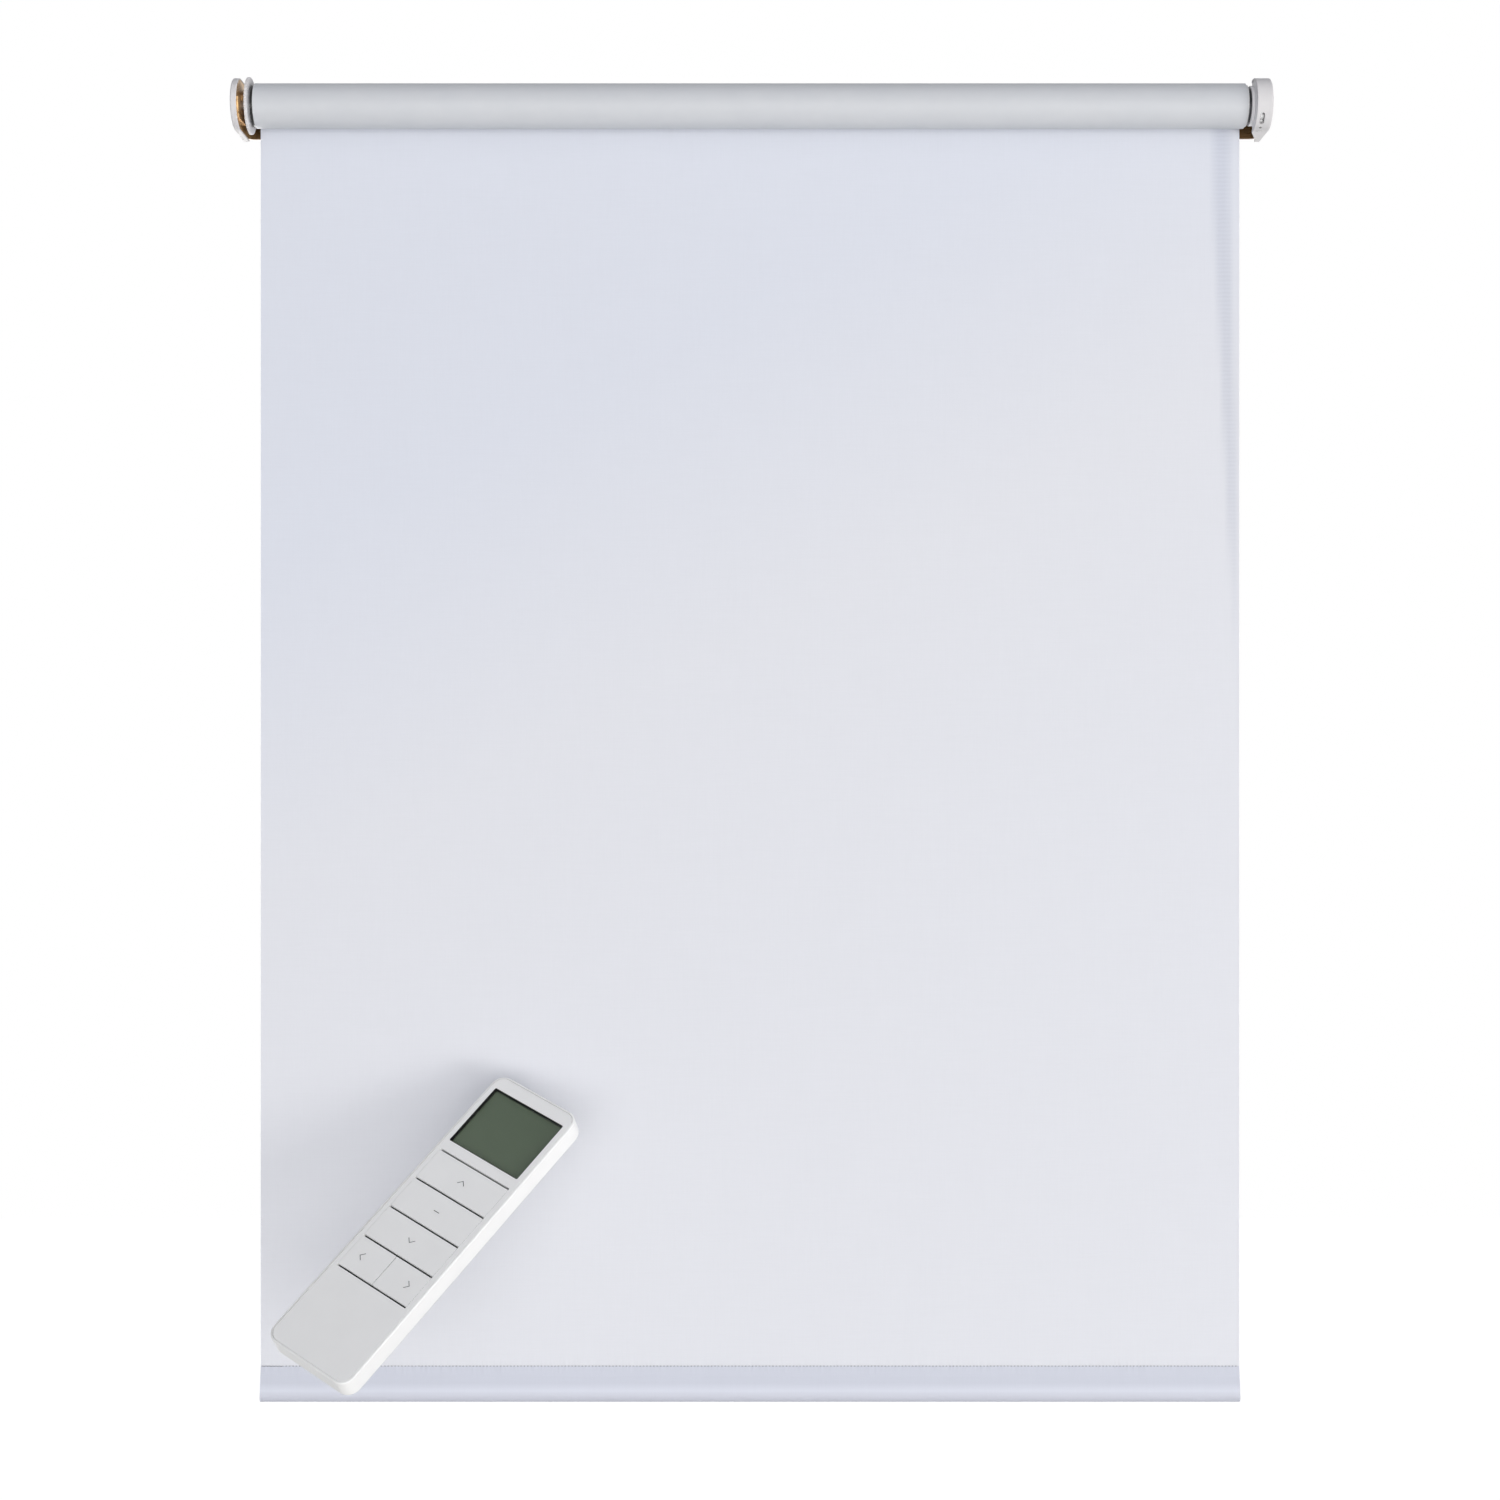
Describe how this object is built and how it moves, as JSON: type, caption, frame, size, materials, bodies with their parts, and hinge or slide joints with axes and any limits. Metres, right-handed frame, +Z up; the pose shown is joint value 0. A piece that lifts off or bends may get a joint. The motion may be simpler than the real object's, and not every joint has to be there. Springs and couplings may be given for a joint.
{
  "type": "motorized roller blind",
  "caption": "Wall-mounted roller blind with a battery motor in the tube, a plain hanging cloth with a weighted hem, two covered brackets and a hand-held remote control.",
  "frame": {"origin": "middle of the four wall screws, on the wall's face, at the height of the roller's axis", "axes": "+X along the roller to the right as seen from the room, +Y into the wall, +Z up"},
  "size_m": [0.6, 0.1483, 0.7743],
  "materials": {
    "golden_steel": "bright yellow-passivated steel, brushed",
    "white_cover": "moulded, satin to gloss",
    "white_head": "moulded, satin",
    "black_plastic": "moulded, glossy",
    "black_steel": "black paint",
    "bright_steel": "polished",
    "motor_steel": "turned",
    "gear_plastic": "moulded acetal",
    "nickel": "nickel plate",
    "cell_sleeve": "shrink sleeve on a steel can",
    "circuit_board": "lacquered board",
    "aluminium": "extruded",
    "cloth": "fine plain-woven blackout cloth, coated on its reverse",
    "cap_plastic": "moulded",
    "lens": "clear moulding",
    "button_plastic": "moulded",
    "handset_white": "fine satin moulding",
    "display_glass": "clear plastic",
    "display_dark": "dark green-grey display, off",
    "black_rubber": "moulded silicone"
  },
  "bodies": {
    "mounting": {"bracket_left": "golden_steel", "bracket_cover_left": "white_cover", "pin_socket": "golden_steel", "bracket_right": "golden_steel", "bracket_cover_right": "white_cover", "head_screws": "bright_steel", "motor_head": "white_head", "charging_socket": "bright_steel", "indicator_lens": "lens", "motor_casing": "black_steel", "battery_cells": "cell_sleeve", "battery_tabs": "nickel", "battery_cradle": "black_plastic", "control_board": "circuit_board", "motor_can": "motor_steel", "ring_gear": "motor_steel", "output_bush": "black_plastic", "spindle_sleeve": "gear_plastic", "bearing_inner_ring": "bright_steel", "cloth": "cloth"},
    "roller": {"roller_tube": "aluminium", "cloth_wrap": "cloth", "drive_wheel": "black_plastic", "output_shaft": "motor_steel", "crown": "cap_plastic", "idler_plug": "black_plastic", "bearing_outer_ring": "bright_steel", "bearing_cap": "bright_steel"},
    "ball_cage": {"bearing_balls": "bright_steel"},
    "rotor": {"rotor_pinion": "motor_steel"},
    "first_stage": {"first_carrier": "motor_steel"},
    "wheel": {"adjusting_wheel": "white_cover"},
    "spindle": {"idler_spindle": "bright_steel"},
    "hem": {"hem_pocket": "cloth", "hem_bar": "aluminium", "hem_caps": "cap_plastic"},
    "setting_button": {"setting_button": "button_plastic"},
    "handset": {"handset_front": "handset_white", "handset_back": "handset_white", "display_window": "display_glass", "display_panel": "display_dark", "handset_board": "circuit_board", "keypad_mat": "black_rubber", "handset_cells": "cell_sleeve", "handset_contacts": "nickel", "handset_screws": "bright_steel"},
    "battery_door": {"battery_door": "handset_white"},
    "first_planet_a": {"first_planet_a": "gear_plastic"},
    "second_planet_a": {"second_planet_a": "gear_plastic"},
    "first_planet_b": {"first_planet_b": "gear_plastic"},
    "second_planet_b": {"second_planet_b": "gear_plastic"},
    "first_planet_c": {"first_planet_c": "gear_plastic"},
    "second_planet_c": {"second_planet_c": "gear_plastic"},
    "key_up": {"key_up": "handset_white"},
    "key_stop": {"key_stop": "handset_white"},
    "key_down": {"key_down": "handset_white"},
    "key_left": {"key_left": "handset_white"},
    "key_right": {"key_right": "handset_white"}
  },
  "joints": [
    {"name": "roller_spin", "type": "hinge", "parent": "mounting", "child": "roller", "pos_m": [0, -0.02, 0], "axis": [1, 0, 0], "range_deg": [0, 2824.44]},
    {"name": "hem_rise", "type": "slide", "parent": "mounting", "child": "hem", "axis": [0, 0, 1], "range_m": [0, 0.7001], "deforming": ["cloth"]},
    {"name": "ball_orbit", "type": "hinge", "parent": "mounting", "child": "ball_cage", "pos_m": [0, -0.02, 0], "axis": [1, 0, 0], "range_deg": [0, 1694.66]},
    {"name": "rotor_spin", "type": "hinge", "parent": "mounting", "child": "rotor", "pos_m": [0, -0.02, 0], "axis": [1, 0, 0], "range_deg": [0, 70612]},
    {"name": "first_stage_spin", "type": "hinge", "parent": "mounting", "child": "first_stage", "pos_m": [0, -0.02, 0], "axis": [1, 0, 0], "range_deg": [0, 14123.2]},
    {"name": "wheel_turn", "type": "hinge", "parent": "mounting", "child": "wheel", "pos_m": [0, -0.02, 0], "axis": [1, 0, 0], "range_deg": [-1441, 0]},
    {"name": "spindle_slide", "type": "slide", "parent": "mounting", "child": "spindle", "axis": [1, 0, 0], "range_m": [0, 0.005]},
    {"name": "setting_press", "type": "slide", "parent": "mounting", "child": "setting_button", "axis": [0, 0.094, 0.9956], "range_m": [0, 0.0005], "stiffness_N_per_m": 600, "springref_m": -0.0005},
    {"name": "handset_away", "type": "slide", "parent": "mounting", "child": "handset", "axis": [0, -1, 0], "range_m": [0, 0.3]},
    {"name": "door_slide", "type": "slide", "parent": "handset", "child": "battery_door", "axis": [-0.5927, -0.4754, -0.6502], "range_m": [0, 0.055]},
    {"name": "first_planet_a_spin", "type": "hinge", "parent": "first_stage", "child": "first_planet_a", "pos_m": [0, -0.01505, 0], "axis": [1, 0, 0], "range_deg": [-37660.2, 0]},
    {"name": "second_planet_a_spin", "type": "hinge", "parent": "roller", "child": "second_planet_a", "pos_m": [0, -0.01505, 0], "axis": [1, 0, 0], "range_deg": [-7532.84, 0]},
    {"name": "first_planet_b_spin", "type": "hinge", "parent": "first_stage", "child": "first_planet_b", "pos_m": [0, -0.02248, 0.00429], "axis": [1, 0, 0], "range_deg": [-37660.2, 0]},
    {"name": "second_planet_b_spin", "type": "hinge", "parent": "roller", "child": "second_planet_b", "pos_m": [0, -0.02248, 0.00429], "axis": [1, 0, 0], "range_deg": [-7532.84, 0]},
    {"name": "first_planet_c_spin", "type": "hinge", "parent": "first_stage", "child": "first_planet_c", "pos_m": [0, -0.02248, -0.00429], "axis": [1, 0, 0], "range_deg": [-37660.2, 0]},
    {"name": "second_planet_c_spin", "type": "hinge", "parent": "roller", "child": "second_planet_c", "pos_m": [0, -0.02248, -0.00429], "axis": [1, 0, 0], "range_deg": [-7532.84, 0]},
    {"name": "key_up_press", "type": "slide", "parent": "handset", "child": "key_up", "axis": [0.1618, 0.7205, -0.6743], "range_m": [0, 0.0004], "stiffness_N_per_m": 800, "springref_m": -0.0004},
    {"name": "key_stop_press", "type": "slide", "parent": "handset", "child": "key_stop", "axis": [0.1618, 0.7205, -0.6743], "range_m": [0, 0.0004], "stiffness_N_per_m": 800, "springref_m": -0.0004},
    {"name": "key_down_press", "type": "slide", "parent": "handset", "child": "key_down", "axis": [0.1618, 0.7205, -0.6743], "range_m": [0, 0.0004], "stiffness_N_per_m": 800, "springref_m": -0.0004},
    {"name": "key_left_press", "type": "slide", "parent": "handset", "child": "key_left", "axis": [0.1618, 0.7205, -0.6743], "range_m": [0, 0.0004], "stiffness_N_per_m": 800, "springref_m": -0.0004},
    {"name": "key_right_press", "type": "slide", "parent": "handset", "child": "key_right", "axis": [0.1618, 0.7205, -0.6743], "range_m": [0, 0.0004], "stiffness_N_per_m": 800, "springref_m": -0.0004}
  ],
  "couplings": [
    {"joint": "hem_rise", "follows": "roller_spin", "m_per_rad": 0.0142},
    {"joint": "ball_orbit", "follows": "roller_spin", "ratio": 0.58276},
    {"joint": "first_stage_spin", "follows": "roller_spin", "ratio": 5},
    {"joint": "rotor_spin", "follows": "roller_spin", "ratio": 25},
    {"joint": "wheel_turn", "follows": "spindle_slide", "rad_per_m": -5026.5},
    {"joint": "first_planet_a_spin", "follows": "roller_spin", "ratio": -13.333},
    {"joint": "second_planet_a_spin", "follows": "roller_spin", "ratio": -2.6667},
    {"joint": "first_planet_b_spin", "follows": "roller_spin", "ratio": -13.333},
    {"joint": "second_planet_b_spin", "follows": "roller_spin", "ratio": -2.6667},
    {"joint": "first_planet_c_spin", "follows": "roller_spin", "ratio": -13.333},
    {"joint": "second_planet_c_spin", "follows": "roller_spin", "ratio": -2.6667}
  ]
}
